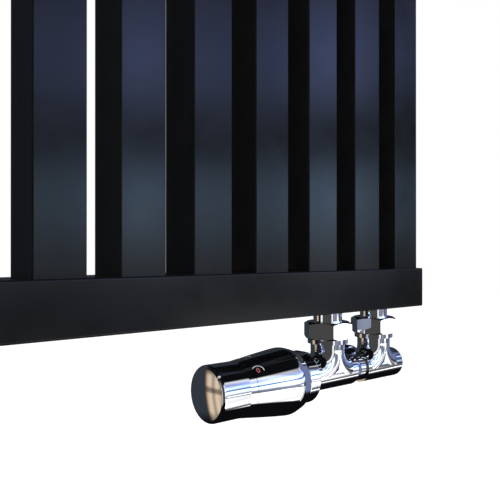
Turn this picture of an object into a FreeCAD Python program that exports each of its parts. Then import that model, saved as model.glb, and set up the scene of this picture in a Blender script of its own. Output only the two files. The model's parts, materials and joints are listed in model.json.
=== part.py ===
import FreeCAD, Part
import math
import os

os.makedirs("parts", exist_ok=True)

# Vertical tube radiator with a double valve under its right end.
# Frame: +X to the viewer's right, +Y towards the wall, +Z up, millimetres.
# Origin: centre of the four wall fixings, on the wall's face.

# ---- Radiator sizes ----
HEIGHT = 1800.0            # over the two rails
TUBE_COUNT = 12
TUBE_PITCH = 45.0
TUBE_WIDTH = 27.0
TUBE_DEPTH = 30.0
TUBE_WALL = 1.5
TUBE_EDGE = 1.0            # outer edge radius of a tube
RAIL_DEPTH = 36.0
RAIL_HEIGHT = 29.0
RAIL_WALL = 2.0
RAIL_EDGE = 1.2            # outer edge radius of a rail
END_PLATE = 3.0            # plate that closes each rail end
PLUG_DEPTH = 6.0           # ring behind the plate, inside the rail
PLUG_WALL = 2.0
WALL_GAP = 39.0            # rail's back to the wall
WELD_FIT = 0.05            # clearance where a piece is slipped in and welded
BAFFLE_THICK = 2.0
BAFFLE_RISE = 60.0         # how far the divider reaches up its tube

# ---- Wall brackets ----
FIXING_TUBE = 2            # tubes between each side and the fixed one
FIXING_INSET = 200.0       # fixing height below the top, above the bottom
CUP_R = 15.0
CUP_LENGTH = 24.0
CUP_FLOOR = 4.0
CUP_EDGE = 1.5
WALL_SCREW_R = 3.0         # hole for the wall screw
STUD_R = 6.0
STUD_PAD_R = 10.0
STUD_PAD = 3.0
STUD_TIP_GAP = 4.0         # room for the wall screw's head
SLIDE_FIT = 0.05
GRUB_R = 2.5
GRUB_BACK = 10.0           # grub screw's distance behind the cup's mouth
GRUB_SINK = 0.6            # how far it sits below the cup's surface
GRUB_SOCKET = 2.0

# ---- Pipe unions under the rail ----
PORT_SPACING = 50.0
BUSH_R = 13.5
BUSH_HEIGHT = 15.0
TAIL_R = 10.0
TAIL_THREAD_RISE = 0.45    # thread beyond the tail piece's own radius
TAIL_THREAD = 12.0
TAIL_BORE_R = 7.0
TAIL_FLANGE_INSET = 0.2    # flange inside the stem's radius
TAIL_FLANGE = 2.5
SEAL = 1.5
NUT_DROP = 7.0             # nut's top below the rail
NUT_FLATS = 30.0
NUT_HEX = 12.0
NUT_COLLAR_WALL = 2.0
NUT_COLLAR = 3.0
NUT_LIP = 3.0
NUT_TURN = 26.5            # how the nuts' flats came to rest, degrees
STEM_R = 12.0
THREAD_FIT = 0.05

# ---- Valve bodies ----
VALVE_DROP = 42.9          # valve axis below the rail
BODY_R = 10.8
BEND_R = 17.0              # centreline radius where stem meets body
BEND_SINK = 0.15           # the bend's end lies this far inside the body
PASSAGE_R = 6.5
SEAT_WALL = 2.0
SEAT_BORE_R = 4.5
CHAMBER_WALL = 2.8
CHANNEL_R = 3.0
STEM_WEB = 8.5             # metal between chamber and stem passage
OUTLET_R = 10.2
OUTLET_THREAD_R = 11.0
OUTLET_THREAD = 12.0
OUTLET_REACH = 34.0        # valve axis to the outlet's end
OUTLET_CHAMFER = 0.5
NECK_REACH = 23.3          # stem to the neck's end, head side
HEAD_SEAT_REACH = 30.3     # stem to the head's seat
HEAD_THREAD_R = 15.0
LEFT_BODY_END = 20.5       # stem to the coupling's collar
RIGHT_BODY_START = 18.0    # coupling to the right stem
COLLAR_TAPER = 5.0
COUPLING_INSET = 1.4       # coupling inside the bodies' radius
SPIGOT_INSET = 3.8         # spigot inside the bodies' radius
SPIGOT = 6.0
O_RING = 1.2
GROOVE_LINE = 0.5          # width and depth of the turned lines

# ---- Thermostatic insert ----
LIFT_CLOSING = 0.0         # from the rest setting to shut
LIFT_OPENING = 2.5         # from the rest setting to fully open
DISC_R = 6.0
DISC_THICK = 1.5
DISC_SEAL = 1.0
PIN_R = 1.5
PIN_PROUD = 2.2            # pin beyond the head's seat at rest
PIN_FIT = 0.05
INSERT_WALL = 1.5
INSERT_LENGTH = 15.8
INSERT_CAVITY_R = 5.0
GLAND_THICK = 3.0
COLLAR_R = 4.5
COLLAR_THICK = 1.0
COLLAR_ROOM = 0.8          # collar's distance from the gland when fully open
SPRING_R = 3.6
SPRING_WIRE_R = 0.5
SPRING_COILS = 4.5
SPRING_SIDES = 8  # flats around the wire

# ---- Thermostatic head, measured leftwards from its seat ----
RING_WALL = 1.9
RING_LIP = 1.5
RING_REACH = 7.0           # ring over the valve's thread
RING_EDGE = 1.0
FLANGE_INSET = 0.7         # flange inside the valve's head thread
FLANGE = 1.8
NECK_INSET = 2.6           # neck inside the valve's head thread
BAND_DEPTH = 1.55          # band below the grip's radius
BAND_START = 3.6
SHELL_START = 6.8
SHELL_LENGTH = 41.6
SHELL_START_RISE = 2.55    # rises are above the grip's radius
SHELL_PEAK = 7.2           # widest place, from the shell's start
SHELL_PEAK_RISE = 4.75
SHELL_MID = 25.6
SHELL_MID_RISE = 3.15
SEAM_RISE = 0.65
PEAK_BLEND = 2.4           # rounding of the widest place
SHELL_WALL = 1.8
END_WALL = 2.2
GUIDE_R = 14.9
GUIDE_WALL = 2.5
GUIDE_PROUD = 6.1          # guide tube beyond the shell, inside the grip
NECK_BORE_R = 8.0
GRIP_FIT = 0.1
GRIP_SIDE = 2.35
GRIP_LENGTH = 26.7
GRIP_END = 2.9
GRIP_EDGE = 2.2
GRIP_FLARE = 5.0           # the grip widens to the seam over this length
GRIP_CROWN_R = 115.0       # bulge of its end face
SEAM = 0.3
KEY_WIDTH = 3.0
KEY_INSET = 1.1            # key inside the guide tube's radius
KEY_START = 30.0
KEY_LENGTH = 8.0
KEY_FIT = 0.05
SLOT_MARGIN = 2.0
CARRIER_WALL = 1.7
CARRIER_START = 20.0
CARRIER_END_WALL = 2.5
THREAD_START = 10.6        # setting nut beyond the seam
THREAD_LENGTH = 10.0
SENSOR_START = 22.0
PUSHER_R = 2.5
STOP_LENGTH = 3.0
STOP_MARGIN = 2.0
TURN_CLOSING = 0.0
TURN_OPENING = 225.0
CLIP_THICK = 1.0
CLIP_PLACE = 2.6           # clip beyond the seam
CLIP_REACH = 0.7           # how far the clip enters each groove
CLIP_GAP_ANGLE = 24.0

# ---- Lockshield side, measured rightwards from its stem ----
LOCK_BODY_END = 17.5
LOCK_CAP_LENGTH = 5.4
LOCK_CAP_WALL = 2.0
LOCK_CAP_EDGE = 2.2
CAP_SPIGOT_INSET = 1.85
CAP_SPIGOT = 1.8
CAP_CAVITY_INSET = 2.7
CONE_LIFT = 1.0            # rest height above the seat, and travel each way
CONE_R = 5.6
CONE_THICK = 2.0
CONE_NOSE = 2.6
CONE_NOSE_R = 4.2
CONE_TIP_R = 3.2
SPINDLE_R = 2.5
SPINDLE_LENGTH = 7.0
SPINDLE_HEX = 3.0
SPINDLE_SOCKET = 2.5
LOCK_GLAND_START = 12.7
LOCK_GLAND = 4.5

# ---- Air vent in the top rail's right end plate ----
VENT_THREAD_R = 6.55
VENT_FLATS = 15.0
VENT_HEAD = 4.0
VENT_DEPTH = 9.0
VENT_SCREW_R = 2.5
VENT_SCREW_PROUD = 2.0
VENT_SEAT_R = 1.2
VENT_SEAT = 2.0
VENT_SLOT = 0.8
VENT_SLOT_DEPTH = 1.5

# ---- Derived places ----
X = FreeCAD.Vector(1, 0, 0)
Y = FreeCAD.Vector(0, 1, 0)
Z = FreeCAD.Vector(0, 0, 1)
WIDTH = (TUBE_COUNT - 1) * TUBE_PITCH + TUBE_WIDTH + 2 * END_PLATE
half_width = WIDTH / 2
bottom = -HEIGHT / 2
tube_bottom = bottom + RAIL_HEIGHT
tube_top = HEIGHT / 2 - RAIL_HEIGHT
rail_back = -WALL_GAP
mid_y = rail_back - RAIL_DEPTH / 2
tube_back = mid_y + TUBE_DEPTH / 2


def tube_x(index):
    return (index - (TUBE_COUNT - 1) / 2) * TUBE_PITCH


port_mid_x = tube_x(TUBE_COUNT - 2)
left_x = port_mid_x - PORT_SPACING / 2
right_x = port_mid_x + PORT_SPACING / 2
axis_z = bottom - VALVE_DROP
tail_thread_r = TAIL_R + TAIL_THREAD_RISE
tail_flange_r = STEM_R - TAIL_FLANGE_INSET
nut_collar_r = STEM_R + NUT_COLLAR_WALL
chamber_r = BODY_R - CHAMBER_WALL
cap_spigot_r = BODY_R - CAP_SPIGOT_INSET
cap_cavity_r = BODY_R - CAP_CAVITY_INSET
coupling_r = BODY_R - COUPLING_INSET
spigot_r = BODY_R - SPIGOT_INSET
ring_r = HEAD_THREAD_R + RING_WALL
flange_r = HEAD_THREAD_R - FLANGE_INSET
neck_r = HEAD_THREAD_R - NECK_INSET
guide_bore_r = GUIDE_R - GUIDE_WALL
key_r = GUIDE_R - KEY_INSET
grip_bore_r = GUIDE_R + GRIP_FIT
grip_r = grip_bore_r + GRIP_SIDE
band_r = grip_r - BAND_DEPTH
shell_start_r = grip_r + SHELL_START_RISE
shell_peak_r = grip_r + SHELL_PEAK_RISE
shell_mid_r = grip_r + SHELL_MID_RISE
seam_r = grip_r + SEAM_RISE
stop_angle = (360 - TURN_CLOSING - TURN_OPENING - 2 * STOP_MARGIN) / 2
collar_back = GLAND_THICK + LIFT_OPENING + COLLAR_ROOM
nut_top = bottom - NUT_DROP
nut_bottom = nut_top - NUT_HEX - NUT_COLLAR
flange_top = nut_top - NUT_LIP
stem_top = flange_top - TAIL_FLANGE - SEAL
head_x = left_x - HEAD_SEAT_REACH
seam_h = SHELL_START + SHELL_LENGTH
grip_start_h = seam_h + SEAM
grip_end_h = grip_start_h + GRIP_LENGTH
fixing_x = tube_x(TUBE_COUNT - 1 - FIXING_TUBE)
fixing_z = HEIGHT / 2 - FIXING_INSET


def save(name, shape):
    shape.exportStep("parts/" + name + ".step")


def box(x0, x1, y0, y1, z0, z1):
    corner = FreeCAD.Vector(x0, y0, z0)
    return Part.makeBox(x1 - x0, y1 - y0, z1 - z0, corner)


def rod_x(x0, x1, r, y=mid_y, z=axis_z):
    return Part.makeCylinder(r, x1 - x0, FreeCAD.Vector(x0, y, z), X)


def rod_y(y0, y1, r, x, z):
    return Part.makeCylinder(r, y1 - y0, FreeCAD.Vector(x, y0, z), Y)


def rod_z(z0, z1, r, x, y=mid_y):
    return Part.makeCylinder(r, z1 - z0, FreeCAD.Vector(x, y, z0), Z)


def join(shapes):
    result = shapes[0].multiFuse(shapes[1:])
    return result.removeSplitter()


def turned_x(points, y=mid_y, z=axis_z):
    """Solid of revolution about an axis along X, from (x, radius) corners."""
    corners = [FreeCAD.Vector(x, y, z + r) for x, r in points]
    face = Part.Face(Part.makePolygon(corners + [corners[0]]))
    return face.revolve(FreeCAD.Vector(0, y, z), X, 360)


def turned_z(points, x, y=mid_y):
    """Solid of revolution about an upright axis, from (radius, z) corners."""
    corners = [FreeCAD.Vector(x + r, y, z) for r, z in points]
    face = Part.Face(Part.makePolygon(corners + [corners[0]]))
    return face.revolve(FreeCAD.Vector(x, y, 0), Z, 360)


def hexagon(flats, height):
    """Hexagonal bar along +Z from the origin, one pair of flats across X."""
    corner_r = flats / math.sqrt(3)
    corners = []
    for step in range(7):
        angle = math.radians(30 + 60 * step)
        corners.append(FreeCAD.Vector(corner_r * math.cos(angle), corner_r * math.sin(angle), 0))
    return Part.Face(Part.makePolygon(corners)).extrude(Z * height)


def long_edges(shape, direction, length):
    """Straight edges of the given length along the given axis."""
    found = []
    for edge in shape.Edges:
        if abs(edge.Length - length) > 0.01:
            continue
        run = edge.Vertexes[-1].Point - edge.Vertexes[0].Point
        if abs(abs(run.dot(direction)) - length) < 0.01:
            found.append(edge)
    return found


def sector(x0, x1, r_in, r_out, middle, width):
    """Block between two radii round the valve axis; angles in degrees, 0 is up."""
    ring = rod_x(x0, x1, r_out).cut(rod_x(x0, x1, r_in))
    reach = 3 * r_out
    corners = [FreeCAD.Vector(x0, mid_y, axis_z)]
    for step in (-1, 0, 1):
        angle = math.radians(middle + step * width / 2)
        corners.append(FreeCAD.Vector(x0, mid_y - reach * math.sin(angle), axis_z + reach * math.cos(angle)))
    corners.append(corners[0])
    wedge = Part.Face(Part.makePolygon(corners)).extrude(X * (x1 - x0))
    return ring.common(wedge)


# ---- Rails, end plates and tubes ----
def rail(z0, tube_side):
    """Square tube with a slot under each riser; tube_side is +1 for slots on top."""
    x1 = half_width - END_PLATE
    outer = box(-x1, x1, rail_back - RAIL_DEPTH, rail_back, z0, z0 + RAIL_HEIGHT)
    outer = outer.makeFillet(RAIL_EDGE, long_edges(outer, X, 2 * x1))
    inner = box(-x1, x1, rail_back - RAIL_DEPTH + RAIL_WALL, rail_back - RAIL_WALL,
                z0 + RAIL_WALL, z0 + RAIL_HEIGHT - RAIL_WALL)
    body = outer.cut(inner)
    slots = []
    slot_w = TUBE_WIDTH / 2 - TUBE_WALL
    slot_d = TUBE_DEPTH / 2 - TUBE_WALL
    slot_z = z0 + RAIL_HEIGHT / 2
    for index in range(TUBE_COUNT):
        x = tube_x(index)
        slots.append(box(x - slot_w, x + slot_w, mid_y - slot_d, mid_y + slot_d,
                         min(slot_z, slot_z + tube_side * RAIL_HEIGHT),
                         max(slot_z, slot_z + tube_side * RAIL_HEIGHT)))
    return body.cut(Part.makeCompound(slots))


def end_plate(side, z0):
    """Rail end plate with the ring that locates it inside the rail."""
    x_in = half_width - END_PLATE
    plate = box(x_in, half_width, rail_back - RAIL_DEPTH, rail_back, z0, z0 + RAIL_HEIGHT)
    plate = plate.makeFillet(RAIL_EDGE, long_edges(plate, X, END_PLATE))
    gap = RAIL_WALL + WELD_FIT
    plug_out = box(x_in - PLUG_DEPTH, x_in, rail_back - RAIL_DEPTH + gap, rail_back - gap,
                   z0 + gap, z0 + RAIL_HEIGHT - gap)
    gap = gap + PLUG_WALL
    plug_in = box(x_in - PLUG_DEPTH, x_in, rail_back - RAIL_DEPTH + gap, rail_back - gap,
                  z0 + gap, z0 + RAIL_HEIGHT - gap)
    plate = join([plate, plug_out.cut(plug_in)])
    # The ring is cut back where the last tube opens into the rail.
    x_tube = tube_x(TUBE_COUNT - 1)
    clear = box(x_tube - TUBE_WIDTH / 2 + TUBE_WALL, x_tube + TUBE_WIDTH / 2 - TUBE_WALL,
                mid_y - TUBE_DEPTH / 2 + TUBE_WALL, mid_y + TUBE_DEPTH / 2 - TUBE_WALL,
                z0 + RAIL_WALL + PLUG_WALL, z0 + RAIL_HEIGHT - RAIL_WALL - PLUG_WALL)
    plate = plate.cut(clear)
    if side < 0:
        plate = plate.mirror(FreeCAD.Vector(0, 0, 0), X)
    return plate


bottom_rail = rail(bottom, 1)
for x in (left_x, right_x):
    bottom_rail = bottom_rail.cut(rod_z(bottom - 1, bottom + RAIL_WALL + 1, BUSH_R, x))
save("bottom_rail", bottom_rail)
save("top_rail", rail(tube_top, -1))
save("bottom_rail_cap_left", end_plate(-1, bottom))
save("bottom_rail_cap_right", end_plate(1, bottom))
save("top_rail_cap_left", end_plate(-1, tube_top))
vent_z = tube_top + RAIL_HEIGHT / 2
vent_hole = rod_x(half_width - END_PLATE - 1, half_width + 1, VENT_THREAD_R + THREAD_FIT, mid_y, vent_z)
save("top_rail_cap_right", end_plate(1, tube_top).cut(vent_hole))

tube_length = tube_top - tube_bottom
for index in range(TUBE_COUNT):
    x = tube_x(index)
    outer = box(x - TUBE_WIDTH / 2, x + TUBE_WIDTH / 2, mid_y - TUBE_DEPTH / 2, tube_back,
                tube_bottom, tube_top)
    outer = outer.makeFillet(TUBE_EDGE, long_edges(outer, Z, tube_length))
    inner = box(x - TUBE_WIDTH / 2 + TUBE_WALL, x + TUBE_WIDTH / 2 - TUBE_WALL,
                mid_y - TUBE_DEPTH / 2 + TUBE_WALL, tube_back - TUBE_WALL, tube_bottom, tube_top)
    save("riser_tube_%02d" % (index + 1), outer.cut(inner))

# Divider between flow and return: it fills the rail and goes on up the tube above it.
x0 = port_mid_x - BAFFLE_THICK / 2
x1 = port_mid_x + BAFFLE_THICK / 2
gap = RAIL_WALL + WELD_FIT
divider = box(x0, x1, rail_back - RAIL_DEPTH + gap, rail_back - gap,
              bottom + RAIL_WALL, tube_bottom - RAIL_WALL)
gap = TUBE_WALL + WELD_FIT
tongue = box(x0, x1, mid_y - TUBE_DEPTH / 2 + gap, tube_back - gap,
             tube_bottom - RAIL_WALL, tube_bottom + BAFFLE_RISE)
save("flow_baffle", join([divider, tongue]))

# ---- Wall brackets ----
cup_mouth = -CUP_LENGTH
grub_y = cup_mouth + GRUB_BACK
studs = []
grubs = []
number = 0
for z in (-fixing_z, fixing_z):
    for x in (-fixing_x, fixing_x):
        number = number + 1
        cup = rod_y(cup_mouth, 0, CUP_R, x, z)
        mouth_edge = [e for e in cup.Edges if e.Closed and abs(e.CenterOfMass.y - cup_mouth) < 0.01]
        cup = cup.makeFillet(CUP_EDGE, mouth_edge)
        cup = cup.cut(rod_y(cup_mouth - 1, -CUP_FLOOR, STUD_R + SLIDE_FIT, x, z))
        cup = cup.cut(rod_y(-CUP_FLOOR - 1, 1, WALL_SCREW_R, x, z))
        cup = cup.cut(rod_z(z - CUP_R - 1, z, GRUB_R + THREAD_FIT, x, grub_y))
        save("wall_cup_%d" % number, cup)
        pad = rod_y(tube_back, tube_back + STUD_PAD, STUD_PAD_R, x, z)
        shank = rod_y(tube_back, -CUP_FLOOR - STUD_TIP_GAP, STUD_R, x, z)
        studs.append(join([pad, shank]))
        grub = rod_z(z - CUP_R + GRUB_SINK, z - STUD_R, GRUB_R, x, grub_y)
        socket = hexagon(GRUB_R, GRUB_SOCKET)
        socket.translate(FreeCAD.Vector(x, grub_y, z - CUP_R + GRUB_SINK))
        grubs.append(grub.cut(socket))
save("bracket_studs", Part.makeCompound(studs))
save("bracket_grub_screws", Part.makeCompound(grubs))

# ---- Unions: bush, tail piece, seal and nut at each port ----
for side, x in (("left", left_x), ("right", right_x)):
    bush = rod_z(bottom, bottom + BUSH_HEIGHT, BUSH_R - WELD_FIT, x)
    bush = bush.cut(rod_z(bottom - 1, bottom + BUSH_HEIGHT + 1, tail_thread_r + THREAD_FIT, x))
    save("port_bush_" + side, bush)
    tail = turned_z([(TAIL_BORE_R, bottom + TAIL_THREAD), (tail_thread_r, bottom + TAIL_THREAD),
                     (tail_thread_r, bottom), (TAIL_R, bottom), (TAIL_R, flange_top),
                     (tail_flange_r, flange_top), (tail_flange_r, flange_top - TAIL_FLANGE),
                     (TAIL_BORE_R, flange_top - TAIL_FLANGE)], x)
    save("tail_piece_" + side, tail)
    seal = rod_z(stem_top, stem_top + SEAL, tail_flange_r, x)
    seal = seal.cut(rod_z(stem_top - 1, stem_top + SEAL + 1, TAIL_BORE_R, x))
    save("union_seal_" + side, seal)
    # Hexagon chamfered to a cone at both ends, with a round collar below it.
    bar = hexagon(NUT_FLATS, NUT_HEX)
    bar.rotate(FreeCAD.Vector(0, 0, 0), Z, NUT_TURN)
    bar.translate(FreeCAD.Vector(x, mid_y, nut_top - NUT_HEX))
    corner_r = NUT_FLATS / math.sqrt(3)
    flat_r = NUT_FLATS / 2
    drop = (corner_r - flat_r + 0.6) * math.tan(math.radians(30))
    low = nut_top - NUT_HEX
    barrel = turned_z([(0, nut_top), (flat_r - 0.6, nut_top), (corner_r, nut_top - drop),
                       (corner_r, low + drop), (flat_r - 0.6, low), (0, low)], x)
    nut = bar.common(barrel)
    nut = join([nut, rod_z(nut_bottom, nut_top - NUT_HEX, nut_collar_r, x)])
    nut = nut.cut(rod_z(nut_bottom - 1, flange_top, STEM_R + THREAD_FIT, x))
    nut = nut.cut(rod_z(nut_bottom - 1, nut_top + 1, TAIL_R + THREAD_FIT, x))
    save("union_nut_" + side, nut)


# ---- Valve bodies ----
def bend(x, side):
    """Quarter bend from the stem into the body, kept on its own side of the stem."""
    centre = FreeCAD.Vector(x + side * BEND_R, mid_y, axis_z + BEND_R)
    start = FreeCAD.Vector(x, mid_y, axis_z + BEND_R)
    half = BEND_R * math.sqrt(0.5)
    middle = FreeCAD.Vector(centre.x - side * half, mid_y, centre.z - half)
    end = FreeCAD.Vector(centre.x, mid_y, axis_z)
    spine = Part.Wire([Part.Arc(start, middle, end).toShape()])
    sweep = Part.BRepOffsetAPI.MakePipeShell(spine)
    sweep.add(Part.Wire([Part.makeCircle(STEM_R, start, Z)]))
    sweep.add(Part.Wire([Part.makeCircle(BODY_R - BEND_SINK, end, X)]))
    sweep.build()
    sweep.makeSolid()
    reach = 3 * BEND_R
    own_side = box(min(x, x + side * reach), max(x, x + side * reach), mid_y - reach, mid_y + reach,
                   axis_z - reach, axis_z + BEND_R)
    return sweep.shape().common(own_side)


def stem_shape(x):
    """Stem, its two bends and the rear outlet, before any bore."""
    straight = rod_z(axis_z + BEND_R, stem_top, STEM_R, x)
    outlet_y = mid_y + OUTLET_REACH
    outlet = rod_y(mid_y, outlet_y - OUTLET_THREAD, OUTLET_R, x, axis_z)
    thread = rod_y(outlet_y - OUTLET_THREAD, outlet_y, OUTLET_THREAD_R, x, axis_z)
    ends = [e for e in thread.Edges if e.Closed]
    thread = thread.makeChamfer(OUTLET_CHAMFER, ends)
    return join([straight, bend(x, -1), bend(x, 1), outlet, thread])


def waterways(x, side):
    """Bores round one stem; side points from the stem to its seat."""
    stem_bore = rod_z(axis_z + PASSAGE_R + STEM_WEB, stem_top + 1, PASSAGE_R, x)
    outlet_bore = rod_y(mid_y, mid_y + OUTLET_REACH + 1, PASSAGE_R, x, axis_z)
    chamber = rod_x(x - PASSAGE_R, x + PASSAGE_R, PASSAGE_R)
    seat_x = x + side * (PASSAGE_R + SEAT_WALL)
    orifice = rod_x(min(x, seat_x + side), max(x, seat_x + side), SEAT_BORE_R)
    low = FreeCAD.Vector(seat_x + side * (CHANNEL_R + 0.9), mid_y, axis_z + chamber_r - 2.1)
    high = FreeCAD.Vector(x + side * 3.0, mid_y, axis_z + PASSAGE_R + STEM_WEB + 4.4)
    channel = Part.makeCylinder(CHANNEL_R, (high - low).Length, low, high - low)
    return [stem_bore, outlet_bore, chamber, orifice, channel]


def turned_line(x, r):
    """Shallow ring to cut as a visible turned line."""
    return rod_x(x - GROOVE_LINE / 2, x + GROOVE_LINE / 2, r + 1).cut(
        rod_x(x - GROOVE_LINE / 2, x + GROOVE_LINE / 2, r - GROOVE_LINE))


left_seat_x = left_x - PASSAGE_R - SEAT_WALL
neck_x = left_x - NECK_REACH
left_end_x = left_x + LEFT_BODY_END
parts = [stem_shape(left_x), rod_x(neck_x, left_end_x, BODY_R), rod_x(head_x, neck_x, HEAD_THREAD_R)]
valve_body = join(parts)
cuts = waterways(left_x, -1)
cuts.append(rod_x(head_x - 1, left_seat_x, chamber_r))
cuts.append(rod_x(left_end_x - SPIGOT - 2, left_end_x + 1, spigot_r + SLIDE_FIT))
cuts.append(turned_line(left_end_x - 4, BODY_R))
for tool in cuts:
    valve_body = valve_body.cut(tool)
save("valve_body", valve_body)

right_seat_x = right_x + PASSAGE_R + SEAT_WALL
right_start_x = right_x - RIGHT_BODY_START
lock_end_x = right_x + LOCK_BODY_END
lock_body = join([stem_shape(right_x), rod_x(right_start_x, lock_end_x, BODY_R)])
cuts = waterways(right_x, 1)
cuts.append(rod_x(right_seat_x, lock_end_x + 1, chamber_r))
cuts.append(rod_x(lock_end_x - CAP_SPIGOT - 0.2, lock_end_x + 1, cap_spigot_r + THREAD_FIT))
cuts.append(rod_x(right_start_x - 1, right_start_x + SPIGOT, spigot_r + SLIDE_FIT))
cuts.append(turned_line(right_start_x + 2, BODY_R))
for tool in cuts:
    lock_body = lock_body.cut(tool)
save("lockshield_body", lock_body)

coupling = turned_x([(left_end_x - SPIGOT, 0), (left_end_x - SPIGOT, spigot_r), (left_end_x, spigot_r),
                     (left_end_x, BODY_R), (left_end_x + COLLAR_TAPER, coupling_r), (right_start_x, coupling_r),
                     (right_start_x, spigot_r), (right_start_x + SPIGOT - 0.5, spigot_r),
                     (right_start_x + SPIGOT - 0.5, 0)])
rings = []
for x in (left_end_x - SPIGOT / 2, right_start_x + SPIGOT / 2):
    groove = rod_x(x - O_RING, x + O_RING, spigot_r + 1)
    groove = groove.cut(rod_x(x - O_RING, x + O_RING, spigot_r - 2 * O_RING))
    coupling = coupling.cut(groove)
    centre = FreeCAD.Vector(x, mid_y, axis_z)
    rings.append(Part.makeTorus(spigot_r + SLIDE_FIT - O_RING, O_RING - 0.02, centre, X))
save("body_coupling", coupling)
save("coupling_o_rings", Part.makeCompound(rings))

# ---- Thermostatic insert: housing, gland, pin, disc and spring ----
house_x = head_x + INSERT_LENGTH
house = rod_x(head_x, house_x, chamber_r - THREAD_FIT)
house = house.cut(rod_x(head_x - 1, house_x - INSERT_WALL, INSERT_CAVITY_R))
house = house.cut(rod_x(head_x, house_x + 1, PIN_R + PIN_FIT))
save("insert_housing", house)
gland = rod_x(head_x, head_x + GLAND_THICK, INSERT_CAVITY_R)
save("insert_gland", gland.cut(rod_x(head_x - 1, head_x + GLAND_THICK + 1, PIN_R + PIN_FIT)))

disc_face_x = left_seat_x - LIFT_CLOSING
disc_x = disc_face_x - DISC_SEAL
collar_x = head_x + collar_back
pin = rod_x(head_x - PIN_PROUD, disc_x - DISC_THICK, PIN_R)
save("plunger_pin", join([pin, rod_x(collar_x, collar_x + COLLAR_THICK, COLLAR_R)]))
save("valve_disc", rod_x(disc_x - DISC_THICK, disc_x, DISC_R))
save("disc_seal", rod_x(disc_x, disc_face_x, DISC_R - 0.2))
spring_x0 = collar_x + COLLAR_THICK + SPRING_WIRE_R
spring_x1 = house_x - INSERT_WALL - LIFT_CLOSING - SPRING_WIRE_R - 0.05
spring_pitch = (spring_x1 - spring_x0) / SPRING_COILS
helix = Part.makeHelix(spring_pitch, spring_x1 - spring_x0, SPRING_R)
coil_start = helix.Edges[0].valueAt(helix.Edges[0].FirstParameter)
coil_run = helix.Edges[0].tangentAt(helix.Edges[0].FirstParameter)
coil_rise = X.cross(coil_run).normalize()
corners = []
for i in range(SPRING_SIDES + 1):
    angle = math.radians((i + 0.5) * 360 / SPRING_SIDES)
    corners.append(coil_start + (X * math.cos(angle) + coil_rise * math.sin(angle)) * SPRING_WIRE_R)
spring = Part.Wire(helix.Edges).makePipeShell([Part.makePolygon(corners)], True, True)
spring.rotate(FreeCAD.Vector(0, 0, 0), Y, 90)
spring.translate(FreeCAD.Vector(spring_x0, mid_y, axis_z))
save("return_spring", spring)


# ---- Thermostatic head ----
def head(h):
    """X of a point h to the left of the head's seat."""
    return head_x - h


def head_rod(h0, h1, r):
    return rod_x(head(h1), head(h0), r)


def on_axis(h, r):
    """Point in the upright plane through the valve axis."""
    return FreeCAD.Vector(head(h), mid_y, axis_z + r)


# The shell's outline: a straight taper, a rounded peak and a gently bowed run to the seam.
peak = on_axis(SHELL_START + SHELL_PEAK, shell_peak_r)
start = on_axis(SHELL_START, shell_start_r)
mid = on_axis(SHELL_START + SHELL_MID, shell_mid_r)
seam = on_axis(seam_h, seam_r)
before = peak + (start - peak).normalize() * PEAK_BLEND
after = peak + (mid - peak).normalize() * PEAK_BLEND
blend = Part.BezierCurve()
blend.setPoles([before, peak, after])
bow = Part.BezierCurve()
bow.setPoles([after, after + (mid - peak) * 0.5, seam])
foot = on_axis(SHELL_START, 0)
tip = on_axis(seam_h, 0)
outline = Part.Wire([Part.makeLine(foot, start), Part.makeLine(start, before), blend.toShape(), bow.toShape(),
                     Part.makeLine(seam, tip), Part.makeLine(tip, foot)])
shell = Part.Face(outline).revolve(FreeCAD.Vector(0, mid_y, axis_z), X, 360)
guide_end_h = seam_h + GUIDE_PROUD
base = join([shell, head_rod(BAND_START, SHELL_START, band_r), head_rod(FLANGE, BAND_START, neck_r),
             head_rod(0, FLANGE, flange_r), head_rod(seam_h, guide_end_h, GUIDE_R)])
stop = sector(head(guide_end_h + STOP_LENGTH), head(guide_end_h - 1), guide_bore_r + 0.2, GUIDE_R, 0, stop_angle)
base = join([base, stop])
floor_h = SHELL_START + END_WALL
base = base.cut(head_rod(-1, floor_h + 1, NECK_BORE_R))
base = base.cut(head_rod(floor_h, guide_end_h + STOP_LENGTH + 1, guide_bore_r))
hollow = [(head(floor_h), GUIDE_R), (head(floor_h), shell_start_r - SHELL_WALL),
          (head(SHELL_START + SHELL_PEAK), shell_peak_r - SHELL_WALL),
          (head(SHELL_START + SHELL_MID), shell_mid_r - SHELL_WALL),
          (head(seam_h - END_WALL), seam_r - SHELL_WALL), (head(seam_h - END_WALL), GUIDE_R)]
base = base.cut(turned_x(hollow))
for turn in (90, 270):
    slot = sector(head(guide_end_h + 1), head(KEY_START - SLOT_MARGIN), guide_bore_r - 1, key_r + 0.2, turn, 30)
    slab = box(head(guide_end_h + 1), head(KEY_START - SLOT_MARGIN), mid_y - 2 * GUIDE_R, mid_y + 2 * GUIDE_R,
               axis_z - KEY_WIDTH / 2 - KEY_FIT, axis_z + KEY_WIDTH / 2 + KEY_FIT)
    base = base.cut(slot.common(slab))
clip_h = seam_h + CLIP_PLACE
clip_groove = head_rod(clip_h - 0.05, clip_h + CLIP_THICK + 0.05, GUIDE_R + 1)
base = base.cut(clip_groove.cut(head_rod(clip_h - 0.05, clip_h + CLIP_THICK + 0.05, GUIDE_R - CLIP_REACH)))
save("head_base", base)
clip = head_rod(clip_h, clip_h + CLIP_THICK, grip_bore_r + CLIP_REACH - 0.1)
clip = clip.cut(head_rod(clip_h - 1, clip_h + 2, GUIDE_R - CLIP_REACH + 0.05))
clip = clip.cut(sector(head(clip_h + 2), head(clip_h - 1), 1, 2 * grip_r, 180, CLIP_GAP_ANGLE))
save("grip_clip", clip)

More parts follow.
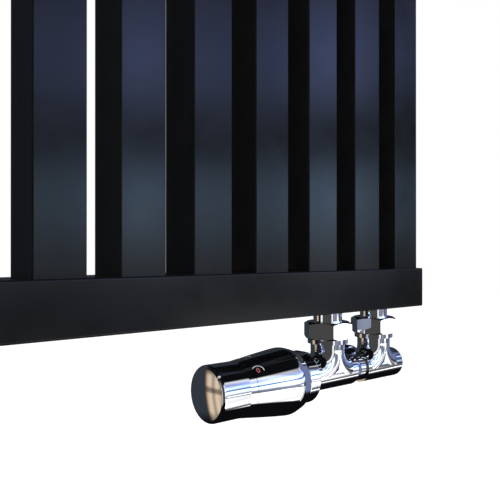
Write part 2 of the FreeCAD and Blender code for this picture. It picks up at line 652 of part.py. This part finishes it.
ring_h = FLANGE + 0.05
ring = head_rod(-RING_REACH + 0.5, ring_h + RING_LIP, ring_r)
ring = ring.makeFillet(RING_EDGE, [e for e in ring.Edges if e.Closed])
ring = ring.cut(head_rod(-RING_REACH - 1, ring_h, HEAD_THREAD_R + THREAD_FIT))
ring = ring.cut(head_rod(ring_h - 1, ring_h + RING_LIP + 1, neck_r + THREAD_FIT))
ring = ring.cut(turned_line(head(-2.6), ring_r))
save("head_union_ring", ring)

# The grip: a flare at the seam, a straight side and a domed end with a rounded edge.
grip = turned_x([(head(grip_start_h), 0), (head(grip_start_h), seam_r), (head(grip_start_h + GRIP_FLARE), grip_r),
                 (head(grip_end_h + 1), grip_r), (head(grip_end_h + 1), 0)])
crown_x = head(grip_end_h) + GRIP_CROWN_R
grip = grip.common(Part.makeSphere(GRIP_CROWN_R, FreeCAD.Vector(crown_x, mid_y, axis_z)))
rim = [e for e in grip.Edges if e.Closed and e.CenterOfMass.x < head(grip_end_h - GRIP_END)]
grip = grip.makeFillet(GRIP_EDGE, rim)
grip = grip.cut(head_rod(grip_start_h - 1, grip_end_h - GRIP_END, grip_bore_r))
grip = grip.cut(head_rod(clip_h - 0.1, clip_h + CLIP_THICK + 0.1, grip_bore_r + CLIP_REACH))
# The grip's stop meets the guide's stop one margin beyond each end of its turn.
stop_place = stop_angle + TURN_OPENING + STOP_MARGIN
rib = sector(head(guide_end_h + STOP_LENGTH), head(guide_end_h + 0.4), guide_bore_r + 0.4, grip_bore_r + 0.5,
             stop_place, stop_angle)
save("head_grip", join([grip, rib]))
nut_h = seam_h + THREAD_START
thread_r = guide_bore_r - 0.1
nut = head_rod(nut_h, nut_h + THREAD_LENGTH, grip_bore_r - WELD_FIT)
save("setting_nut", nut.cut(head_rod(nut_h - 1, nut_h + THREAD_LENGTH + 1, thread_r + THREAD_FIT)))

carrier_end_h = nut_h + THREAD_LENGTH - 0.5
carrier = head_rod(CARRIER_START, carrier_end_h, thread_r)
for turn in (90, 270):
    key = sector(head(KEY_START + KEY_LENGTH), head(KEY_START), thread_r - 1, key_r, turn, 30)
    slab = box(head(KEY_START + KEY_LENGTH), head(KEY_START), mid_y - 2 * GUIDE_R, mid_y + 2 * GUIDE_R,
               axis_z - KEY_WIDTH / 2, axis_z + KEY_WIDTH / 2)
    carrier = join([carrier, key.common(slab)])
sensor_r = thread_r - CARRIER_WALL
carrier = carrier.cut(head_rod(CARRIER_START - 1, carrier_end_h - CARRIER_END_WALL, sensor_r + SLIDE_FIT))
save("sensor_carrier", carrier)
sensor = head_rod(SENSOR_START, carrier_end_h - CARRIER_END_WALL, sensor_r)
sensor = sensor.makeFillet(1.0, [e for e in sensor.Edges if e.Closed])
save("sensor_element", join([sensor, head_rod(PIN_PROUD, SENSOR_START + 1, PUSHER_R)]))

# ---- Lockshield: cone, spindle, gland and cap ----
cone_x = right_seat_x + CONE_LIFT
cone = turned_x([(cone_x - CONE_NOSE, 0), (cone_x - CONE_NOSE, CONE_TIP_R), (cone_x, CONE_NOSE_R),
                 (cone_x, CONE_R), (cone_x + CONE_THICK, CONE_R), (cone_x + CONE_THICK, 0)])
save("regulator_cone", cone)
spindle_x = cone_x + CONE_THICK
spindle_end = spindle_x + SPINDLE_LENGTH
spindle = rod_x(spindle_x, spindle_end, SPINDLE_R)
socket = hexagon(SPINDLE_HEX, SPINDLE_SOCKET + 1)
socket.rotate(FreeCAD.Vector(0, 0, 0), Y, 90)
socket.translate(FreeCAD.Vector(spindle_end - SPINDLE_SOCKET, mid_y, axis_z))
save("regulator_spindle", spindle.cut(socket))
gland_x = right_x + LOCK_GLAND_START
gland = rod_x(gland_x, gland_x + LOCK_GLAND, chamber_r - THREAD_FIT)
save("regulator_gland", gland.cut(rod_x(gland_x - 1, gland_x + LOCK_GLAND + 1, SPINDLE_R + PIN_FIT)))

cap_end = lock_end_x + LOCK_CAP_LENGTH
cap = rod_x(lock_end_x, cap_end, BODY_R)
cap_edge = [e for e in cap.Edges if e.Closed and abs(e.CenterOfMass.x - cap_end) < 0.01]
cap = cap.makeFillet(LOCK_CAP_EDGE, cap_edge)
cap = join([cap, rod_x(lock_end_x - CAP_SPIGOT, lock_end_x + 1, cap_spigot_r)])
cap = cap.cut(rod_x(lock_end_x - CAP_SPIGOT - 1, cap_end - LOCK_CAP_WALL, cap_cavity_r))
save("lockshield_cap", cap)

# ---- Air vent ----
vent_in = half_width - VENT_DEPTH
vent = rod_x(vent_in, half_width + 1, VENT_THREAD_R, mid_y, vent_z)
vent_hex = hexagon(VENT_FLATS, VENT_HEAD)
vent_hex.rotate(FreeCAD.Vector(0, 0, 0), Y, 90)
vent_hex.translate(FreeCAD.Vector(half_width, mid_y, vent_z))
vent = join([vent, vent_hex])
vent = vent.cut(rod_x(vent_in - 1, half_width + VENT_HEAD + 1, VENT_SEAT_R, mid_y, vent_z))
vent = vent.cut(rod_x(vent_in + VENT_SEAT, half_width + VENT_HEAD + 1, VENT_SCREW_R + PIN_FIT, mid_y, vent_z))
save("air_vent_body", vent)
screw_end = half_width + VENT_HEAD + VENT_SCREW_PROUD
screw = rod_x(vent_in + VENT_SEAT, screw_end, VENT_SCREW_R, mid_y, vent_z)
slot = box(screw_end - VENT_SLOT_DEPTH, screw_end + 1, mid_y - 5, mid_y + 5,
           vent_z - VENT_SLOT / 2, vent_z + VENT_SLOT / 2)
save("air_vent_screw", screw.cut(slot))
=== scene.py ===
import json
import math

import bmesh
import bpy
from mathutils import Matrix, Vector
from mathutils.bvhtree import BVHTree


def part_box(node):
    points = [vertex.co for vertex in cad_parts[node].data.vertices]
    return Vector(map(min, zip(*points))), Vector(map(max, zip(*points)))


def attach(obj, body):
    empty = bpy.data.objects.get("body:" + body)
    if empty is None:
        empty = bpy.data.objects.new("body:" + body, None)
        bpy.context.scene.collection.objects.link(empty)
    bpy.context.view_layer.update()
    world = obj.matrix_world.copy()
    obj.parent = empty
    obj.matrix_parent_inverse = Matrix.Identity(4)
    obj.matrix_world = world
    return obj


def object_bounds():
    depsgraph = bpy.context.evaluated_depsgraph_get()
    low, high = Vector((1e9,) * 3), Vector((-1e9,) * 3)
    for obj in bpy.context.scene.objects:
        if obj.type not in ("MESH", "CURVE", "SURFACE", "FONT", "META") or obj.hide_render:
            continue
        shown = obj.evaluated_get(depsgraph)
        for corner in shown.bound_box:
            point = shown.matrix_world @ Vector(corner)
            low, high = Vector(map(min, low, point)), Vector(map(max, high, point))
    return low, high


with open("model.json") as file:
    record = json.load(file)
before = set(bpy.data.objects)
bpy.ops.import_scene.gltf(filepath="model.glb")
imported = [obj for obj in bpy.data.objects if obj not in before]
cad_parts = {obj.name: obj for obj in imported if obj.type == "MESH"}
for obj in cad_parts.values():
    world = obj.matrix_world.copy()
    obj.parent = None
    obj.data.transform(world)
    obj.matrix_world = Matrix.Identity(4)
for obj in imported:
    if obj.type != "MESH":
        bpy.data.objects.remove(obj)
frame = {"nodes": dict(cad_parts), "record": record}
cad_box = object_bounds()
nodes = frame["nodes"]
scene = bpy.context.scene


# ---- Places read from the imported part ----
def corners(name):
    low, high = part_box(name)
    return Vector(low), Vector(high)


rail_low, rail_high = corners("bottom_rail")
plate_low, plate_high = corners("bottom_rail_cap_right")
grip_low, grip_high = corners("head_grip")
base_low, base_high = corners("head_base")
axis_y = (grip_low.y + grip_high.y) / 2
axis_z = (grip_low.z + grip_high.z) / 2


# ---- Material helpers ----
def new_material(name):
    material = bpy.data.materials.new(name)
    material.use_nodes = True
    tree = material.node_tree
    return material, tree, tree.nodes["Principled BSDF"]


def link(tree, source, target):
    tree.links.new(source, target)


def noise(tree, scale, detail=3.0, stretch=(1, 1, 1)):
    """Noise laid out in the object's own metres."""
    place = tree.nodes.new("ShaderNodeTexCoord")
    mapping = tree.nodes.new("ShaderNodeMapping")
    mapping.inputs["Scale"].default_value = stretch
    texture = tree.nodes.new("ShaderNodeTexNoise")
    texture.inputs["Scale"].default_value = scale
    texture.inputs["Detail"].default_value = detail
    link(tree, place.outputs["Object"], mapping.inputs["Vector"])
    link(tree, mapping.outputs["Vector"], texture.inputs["Vector"])
    return texture.outputs["Fac"]


def spread(tree, source, low, high):
    """Maps a 0.3 to 0.7 noise value to a range."""
    node = tree.nodes.new("ShaderNodeMapRange")
    node.inputs["From Min"].default_value = 0.3
    node.inputs["From Max"].default_value = 0.7
    node.inputs["To Min"].default_value = low
    node.inputs["To Max"].default_value = high
    link(tree, source, node.inputs["Value"])
    return node.outputs["Result"]


def two_tone(tree, source, dark, light):
    ramp = tree.nodes.new("ShaderNodeValToRGB")
    ramp.color_ramp.elements[0].position = 0.3
    ramp.color_ramp.elements[0].color = (*dark, 1)
    ramp.color_ramp.elements[1].position = 0.7
    ramp.color_ramp.elements[1].color = (*light, 1)
    link(tree, source, ramp.inputs["Fac"])
    return ramp.outputs["Color"]


def bump(tree, shader, source, strength, distance):
    node = tree.nodes.new("ShaderNodeBump")
    node.inputs["Strength"].default_value = strength
    node.inputs["Distance"].default_value = distance
    link(tree, source, node.inputs["Height"])
    link(tree, node.outputs["Normal"], shader.inputs["Normal"])


def surface(name, dark, light, rough_low, rough_high, metal, scale, bump_scale, bump_depth, stretch=(1, 1, 1)):
    """Two close tones, uneven roughness and fine relief."""
    material, tree, shader = new_material(name)
    grain = noise(tree, scale, 4.0, stretch)
    link(tree, two_tone(tree, grain, dark, light), shader.inputs["Base Color"])
    link(tree, spread(tree, grain, rough_low, rough_high), shader.inputs["Roughness"])
    shader.inputs["Metallic"].default_value = metal
    bump(tree, shader, noise(tree, bump_scale, 2.0, stretch), 1.0, bump_depth)
    return material, shader


paint, paint_shader = surface("radiator_paint", (0.0058, 0.006, 0.0066), (0.0078, 0.008, 0.0088), 0.13, 0.17, 0.0,
                              60.0, 450.0, 0.000003)
paint_shader.inputs["Specular IOR Level"].default_value = 0.2
chrome, chrome_shader = surface("chrome", (0.86, 0.88, 0.92), (0.92, 0.93, 0.95), 0.02, 0.045, 1.0,
                                30.0, 90.0, 0.0000015)
steel, steel_shader = surface("plain_steel", (0.42, 0.42, 0.43), (0.56, 0.56, 0.57), 0.3, 0.42, 1.0,
                              200.0, 900.0, 0.00001)
pin_steel, pin_shader = surface("pin_steel", (0.58, 0.58, 0.6), (0.66, 0.66, 0.67), 0.12, 0.2, 1.0,
                                300.0, 1200.0, 0.000003, (1, 20, 20))
brass, brass_shader = surface("brass", (0.56, 0.4, 0.16), (0.7, 0.52, 0.24), 0.22, 0.34, 1.0,
                              150.0, 700.0, 0.000006, (20, 1, 1))
rubber, rubber_shader = surface("rubber", (0.012, 0.012, 0.012), (0.025, 0.025, 0.026), 0.6, 0.75, 0.0,
                                400.0, 1500.0, 0.00002)
plastic, plastic_shader = surface("carrier_plastic", (0.68, 0.68, 0.65), (0.76, 0.76, 0.73), 0.4, 0.5, 0.0,
                                  200.0, 900.0, 0.00001)
white_print, white_shader = surface("white_print", (0.75, 0.75, 0.75), (0.85, 0.85, 0.85), 0.4, 0.5, 0.0,
                                    500.0, 2000.0, 0.000002)
red_print, red_shader = surface("red_print", (0.5, 0.13, 0.14), (0.62, 0.2, 0.2), 0.4, 0.5, 0.0,
                                500.0, 2000.0, 0.000002)

looks = {"radiator_paint": paint, "bracket_paint": paint, "chrome": chrome, "plain_steel": steel,
         "pin_steel": pin_steel, "brass": brass, "rubber": rubber, "carrier_plastic": plastic}
for entry in frame["record"]["subparts"]:
    node = nodes[entry["node"]]
    node.data.materials.clear()
    node.data.materials.append(looks[entry["material_slot"]])


# ---- Printed scale and index marks ----
def tree_of(name):
    mesh = nodes[name].data
    return BVHTree.FromPolygons([v.co for v in mesh.vertices], [p.vertices[:] for p in mesh.polygons])


def lay_on(bvh, x, alpha, lift):
    """Point just above the surface at x, alpha radians above the front."""
    outward = Vector((0, -math.cos(alpha), math.sin(alpha)))
    start = Vector((x, axis_y, axis_z)) + outward * 0.06
    hit, normal, index, distance = bvh.ray_cast(start, -outward)
    return hit + normal * lift


def print_on(name, host, body, outline, x, alpha, material):
    """Wraps a flat mesh, whose X runs along the axis and Y round it, onto a turned surface."""
    bvh = tree_of(host)
    low, high = corners(host)
    radius = (high.z - low.z) / 2
    mesh = outline.copy()
    for vertex in mesh.vertices:
        turn = alpha + vertex.co.y / radius
        vertex.co = lay_on(bvh, x + vertex.co.x, turn, 0.00004)
    mesh.materials.clear()
    mesh.materials.append(material)
    piece = bpy.data.objects.new(name, mesh)
    scene.collection.objects.link(piece)
    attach(piece, body)
    return piece


def digit_mesh(text, height):
    """Filled outline of a character, centred."""
    curve = bpy.data.curves.new("digit", "FONT")
    curve.body = text
    curve.size = height
    curve.align_x = "CENTER"
    curve.align_y = "CENTER"
    holder = bpy.data.objects.new("digit", curve)
    mesh = bpy.data.meshes.new_from_object(holder)
    bpy.data.objects.remove(holder)
    return mesh


def arc_mesh(radius, width, start, end, steps=32):
    """Flat band along an arc; angles in degrees from the mesh's X."""
    build = bmesh.new()
    rows = []
    for step in range(steps + 1):
        angle = math.radians(start + (end - start) * step / steps)
        row = []
        for r in (radius - width / 2, radius + width / 2):
            row.append(build.verts.new((r * math.cos(angle), r * math.sin(angle), 0)))
        rows.append(row)
    for first, second in zip(rows, rows[1:]):
        build.faces.new((first[0], first[1], second[1], second[0]))
    mesh = bpy.data.meshes.new("arc")
    build.to_mesh(mesh)
    build.free()
    return mesh


SCALE_ANGLE = 43.0      # zero on the scale, above the front
SCALE_STEP = 45.0
SEAM_INSET = 0.0091     # from the base's end, inside the grip, to the seam
scale_x = base_low.x + SEAM_INSET + 0.0032
for number in range(6):
    alpha = math.radians(SCALE_ANGLE + number * SCALE_STEP)
    print_on("scale_digit_%d" % number, "head_base", "radiator", digit_mesh(str(number), 0.0052),
             scale_x, alpha, red_print)
    print_on("scale_arc_%d" % number, "head_base", "radiator", arc_mesh(0.0041, 0.0005, -12, 140),
             scale_x, alpha, white_print)
print_on("grip_index", "head_grip", "grip", arc_mesh(0.0004, 0.0008, 0, 360),
         grip_low.x + 0.0019, math.radians(SCALE_ANGLE + 3), white_print)


# ---- Screw threads on the two outlets ----
def thread_mesh(radius, pitch, turns, height, steps=48):
    """Ridge along a helix about +Y from the origin."""
    build = bmesh.new()
    rows = []
    for step in range(int(steps * turns) + 1):
        angle = 2 * math.pi * step / steps
        y = pitch * step / steps
        fade = min(1, step / 12, (steps * turns - step) / 12)
        row = []
        for offset, rise in ((-0.42, -0.3), (-0.08, 1), (0.08, 1), (0.42, -0.3)):
            r = radius + height * rise * max(fade, 0.0)
            if rise < 0:
                r = radius - height * 0.3
            row.append(build.verts.new((r * math.cos(angle), y + offset * pitch, r * math.sin(angle))))
        rows.append(row)
    for first, second in zip(rows, rows[1:]):
        for k in range(3):
            build.faces.new((first[k], second[k], second[k + 1], first[k + 1]))
    mesh = bpy.data.meshes.new("thread")
    build.to_mesh(mesh)
    build.free()
    for polygon in mesh.polygons:
        polygon.use_smooth = True
    return mesh


outlet_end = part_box("valve_body")[1][1]
for name, low_high in (("flow", corners("union_nut_left")), ("return", corners("union_nut_right"))):
    x = (low_high[0].x + low_high[1].x) / 2
    mesh = thread_mesh(0.011, 0.0015, 6.5, 0.0005)
    mesh.materials.append(chrome)
    piece = bpy.data.objects.new(name + "_outlet_thread", mesh)
    for vertex in mesh.vertices:
        vertex.co = vertex.co + Vector((x, outlet_end - 0.0112, axis_z))
    scene.collection.objects.link(piece)
    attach(piece, "radiator")


# ---- Floor ----
def white_floor():
    """Pale floor that reads white to the camera, and still takes a shadow."""
    material, tree, shader = new_material("floor")
    shader.inputs["Base Color"].default_value = (0.8, 0.8, 0.8, 1)
    shader.inputs["Roughness"].default_value = 0.9
    shader.inputs["Specular IOR Level"].default_value = 0.0
    path = tree.nodes.new("ShaderNodeLightPath")
    glow = tree.nodes.new("ShaderNodeEmission")
    glow.inputs["Strength"].default_value = 0.42
    mix = tree.nodes.new("ShaderNodeAddShader")
    pick = tree.nodes.new("ShaderNodeMixShader")
    link(tree, shader.outputs["BSDF"], mix.inputs[0])
    link(tree, glow.outputs["Emission"], mix.inputs[1])
    link(tree, path.outputs["Is Camera Ray"], pick.inputs["Fac"])
    link(tree, shader.outputs["BSDF"], pick.inputs[1])
    link(tree, mix.outputs["Shader"], pick.inputs[2])
    link(tree, pick.outputs["Shader"], tree.nodes["Material Output"].inputs["Surface"])
    return material


build = bmesh.new()
bmesh.ops.create_grid(build, x_segments=8, y_segments=8, size=6)
floor_mesh = bpy.data.meshes.new("floor")
build.to_mesh(floor_mesh)
build.free()
floor = bpy.data.objects.new("floor", floor_mesh)
floor.location = (0, 0, cad_box[0][2] - 0.35)
floor.data.materials.append(white_floor())
scene.collection.objects.link(floor)
floor.visible_glossy = False


# ---- World: white to the camera, even light on matt surfaces, studio windows for metal ----
def ramp_node(tree, source, stops, mode="LINEAR"):
    node = tree.nodes.new("ShaderNodeValToRGB")
    ramp = node.color_ramp
    ramp.interpolation = mode
    while len(ramp.elements) > 1:
        ramp.elements.remove(ramp.elements[-1])
    first = True
    for place, colour in stops:
        if first:
            element = ramp.elements[0]
            element.position = place
            first = False
        else:
            element = ramp.elements.new(place)
        element.color = (*colour, 1)
    link(tree, source, node.inputs["Fac"])
    return node.outputs["Color"]


def math_node(tree, operation, first, second=None, third=None):
    node = tree.nodes.new("ShaderNodeMath")
    node.operation = operation
    for index, value in enumerate((first, second, third)):
        if value is None:
            continue
        if isinstance(value, (int, float)):
            node.inputs[index].default_value = value
        else:
            link(tree, value, node.inputs[index])
    return node.outputs["Value"]


def mix_colour(tree, factor, first, second, blend="MIX"):
    node = tree.nodes.new("ShaderNodeMix")
    node.data_type = "RGBA"
    node.blend_type = blend
    for socket, value in ((node.inputs[0], factor), (node.inputs[6], first), (node.inputs[7], second)):
        if isinstance(value, (int, float)):
            socket.default_value = value
        elif isinstance(value, tuple):
            socket.default_value = (*value, 1)
        else:
            link(tree, value, socket)
    return node.outputs[2]


world = bpy.data.worlds.new("studio")
scene.world = world
world.use_nodes = True
tree = world.node_tree
background = tree.nodes["Background"]
place = tree.nodes.new("ShaderNodeTexCoord")
split = tree.nodes.new("ShaderNodeSeparateXYZ")
link(tree, place.outputs["Generated"], split.inputs["Vector"])
azimuth = math_node(tree, "ARCTAN2", split.outputs["Y"], split.outputs["X"])
azimuth = math_node(tree, "FRACT", math_node(tree, "MULTIPLY_ADD", azimuth, 1 / (2 * math.pi), 1.0))
height = math_node(tree, "MULTIPLY", math_node(tree, "ARCSINE", split.outputs["Z"]), 180 / math.pi)
level = math_node(tree, "MULTIPLY_ADD", height, 1 / 180, 0.5)

WHITE = (1.0, 1.0, 1.0)
BLACK = (0.004, 0.004, 0.005)
SLATE = (0.03, 0.037, 0.047)
GREY = (0.06, 0.06, 0.055)
GOLD = (0.62, 0.42, 0.26)
BEIGE = (0.8, 0.66, 0.5)
BLUE = (0.16, 0.2, 0.36)
WINDOW = 8.0            # the window ramp holds its colours divided by this
WINDOW_LEVEL = 2.5


def around(stops):
    return [(angle / 360, colour) for angle, colour in stops]


def grey(stops):
    return [(place, (value, value, value)) for place, value in stops]


def upward(stops):
    return [(angle / 180 + 0.5, colour) for angle, colour in stops]


walls = ramp_node(tree, azimuth, around([
    (0, BLUE), (16, (0.03, 0.035, 0.06)), (56, (0.02, 0.025, 0.03)), (62, SLATE), (126.5, SLATE), (127.5, (0.12, 0.08, 0.05)),
    (129, GOLD), (132, BEIGE), (135.5, (0.35, 0.24, 0.15)), (138, BEIGE), (142, GOLD), (145, (0.3, 0.2, 0.12)),
    (148, BLACK), (165, BLACK),
    (168, WHITE), (180, WHITE), (184, GREY), (252, GREY), (255, WHITE), (265, WHITE), (267, BLACK),
    (335, BLACK), (341, BLUE)]))
walls_level = ramp_node(tree, level, upward(grey([(-60, 0.0), (-24, 0.0), (-20, 1.0), (34, 1.0), (38, 0.0)])))
gold_part = ramp_node(tree, azimuth, around(grey([(126, 0.0), (128, 1.0), (146, 1.0), (149, 0.0)])))
gold_level = ramp_node(tree, level, upward(grey([(-12, 1.0), (-11, 0.3), (-9.5, 0.3), (-8.5, 1.0), (-4, 1.0), (-2, 0.01)])))
walls = mix_colour(tree, 1.0, walls, walls_level, "MULTIPLY")
walls = mix_colour(tree, 1.0, walls, mix_colour(tree, gold_part, WHITE, gold_level), "MULTIPLY")

# A tall window in front on the right: bright below, dim at eye level, then two bluish panes.
window_rows = [(-46, (0, 0, 0)), (-43, (0.9, 0.9, 0.9)), (-11.6, (0.9, 0.9, 0.9)), (-11, (0.1, 0.11, 0.14)),
               (-5, (0.13, 0.14, 0.18)), (-3, (0.25, 0.27, 0.31)), (-0.6, (0.72, 0.78, 0.88)),
               (0.6, (0.65, 0.86, 1.15)), (1.9, (0.9, 1.27, 1.8)), (3.3, (1.07, 1.6, 2.25)),
               (4.7, (1.19, 1.8, 2.65)), (6.5, (1.05, 1.6, 2.4)), (7.8, (0.48, 0.74, 1.2)),
               (9.2, (0.12, 0.16, 0.24)), (10.5, (0.08, 0.1, 0.17)), (11.8, (0.16, 0.2, 0.36)),
               (13.6, (0.62, 0.82, 1.5)), (15.3, (0.82, 1.1, 2.3)), (17, (0.84, 1.15, 2.5)),
               (20, (0.62, 0.8, 1.8)), (23, (0.34, 0.44, 0.9)), (26, (0.3, 0.35, 0.6)), (34, (0.4, 0.4, 0.4)),
               (38, (0, 0, 0))]
window_colour = ramp_node(tree, level, upward([(angle, tuple(v / WINDOW for v in colour))
                                               for angle, colour in window_rows]))
window_part = ramp_node(tree, azimuth, around(grey([
    (270, 0.0), (272, 1.0), (280, 1.0), (281, 0.0), (282, 1.0), (288, 0.6), (293, 0.4), (295.4, 0.7),
    (296, 0.02), (296.8, 0.75), (300, 1.12), (302.6, 0.8), (303.2, 0.02), (304, 0.7), (307, 0.55), (312, 0.4), (317, 0.95), (320, 0.6),
    (322.5, 0.15), (325, 0.05), (328.6, 0.06), (329, 0.9), (330.5, 0.9), (331, 0.06), (340, 0.0)])))
window = mix_colour(tree, 1.0, window_colour, window_part, "MULTIPLY")
sill_part = ramp_node(tree, azimuth, around(grey([(303, 0.0), (305, 0.1), (316, 0.1), (317, 0.0)])))
sill_level = ramp_node(tree, level, upward(grey([(-8.6, 0.0), (-8.2, 1.0), (-6.0, 1.0), (-5.6, 0.0)])))
window = mix_colour(tree, 1.0, window, mix_colour(tree, 1.0, sill_part, sill_level, "MULTIPLY"), "ADD")
gain = WINDOW * WINDOW_LEVEL
window = mix_colour(tree, 1.0, window, (gain, gain, gain), "MULTIPLY")
studio = mix_colour(tree, 1.0, walls, window, "ADD")
studio = mix_colour(tree, 1.0, studio, BLACK, "ADD")

path = tree.nodes.new("ShaderNodeLightPath")
plain = mix_colour(tree, path.outputs["Is Glossy Ray"], (0.8, 0.8, 0.8), studio)
shown = math_node(tree, "MAXIMUM", path.outputs["Is Camera Ray"], path.outputs["Is Transmission Ray"])
link(tree, mix_colour(tree, shown, plain, WHITE), background.inputs["Color"])
background.inputs["Strength"].default_value = 1.0


# ---- Lamps ----
def lamp(name, place, target, size, energy):
    data = bpy.data.lights.new(name, "AREA")
    data.shape = "SQUARE"
    data.size = size
    data.energy = energy
    holder = bpy.data.objects.new(name, data)
    holder.location = place
    holder.rotation_euler = (Vector(target) - Vector(place)).to_track_quat("-Z", "Y").to_euler()
    holder.visible_glossy = False
    scene.collection.objects.link(holder)


middle = (0.1, axis_y, axis_z)
lamp("key", (-1.2, -1.8, 0.6), middle, 1.6, 18)
lamp("fill", (1.6, -1.6, 0.2), middle, 1.6, 8)
lamp("back", (0.4, 1.6, 0.8), middle, 1.6, 6)

# ---- Camera ----
camera_data = bpy.data.cameras.new("camera")
camera_data.sensor_width = 36
camera_data.lens = 44.38
camera_data.clip_start = 0.01
camera = bpy.data.objects.new("camera", camera_data)
corner = Vector((plate_high.x, rail_low.y, rail_high.z))
camera.location = corner + Vector((-0.404759, -0.278178, 0.012893))
camera.rotation_euler = (math.radians(90.108), 0, math.radians(-39.878))
scene.collection.objects.link(camera)
scene.camera = camera
scene.view_settings.view_transform = "Standard"
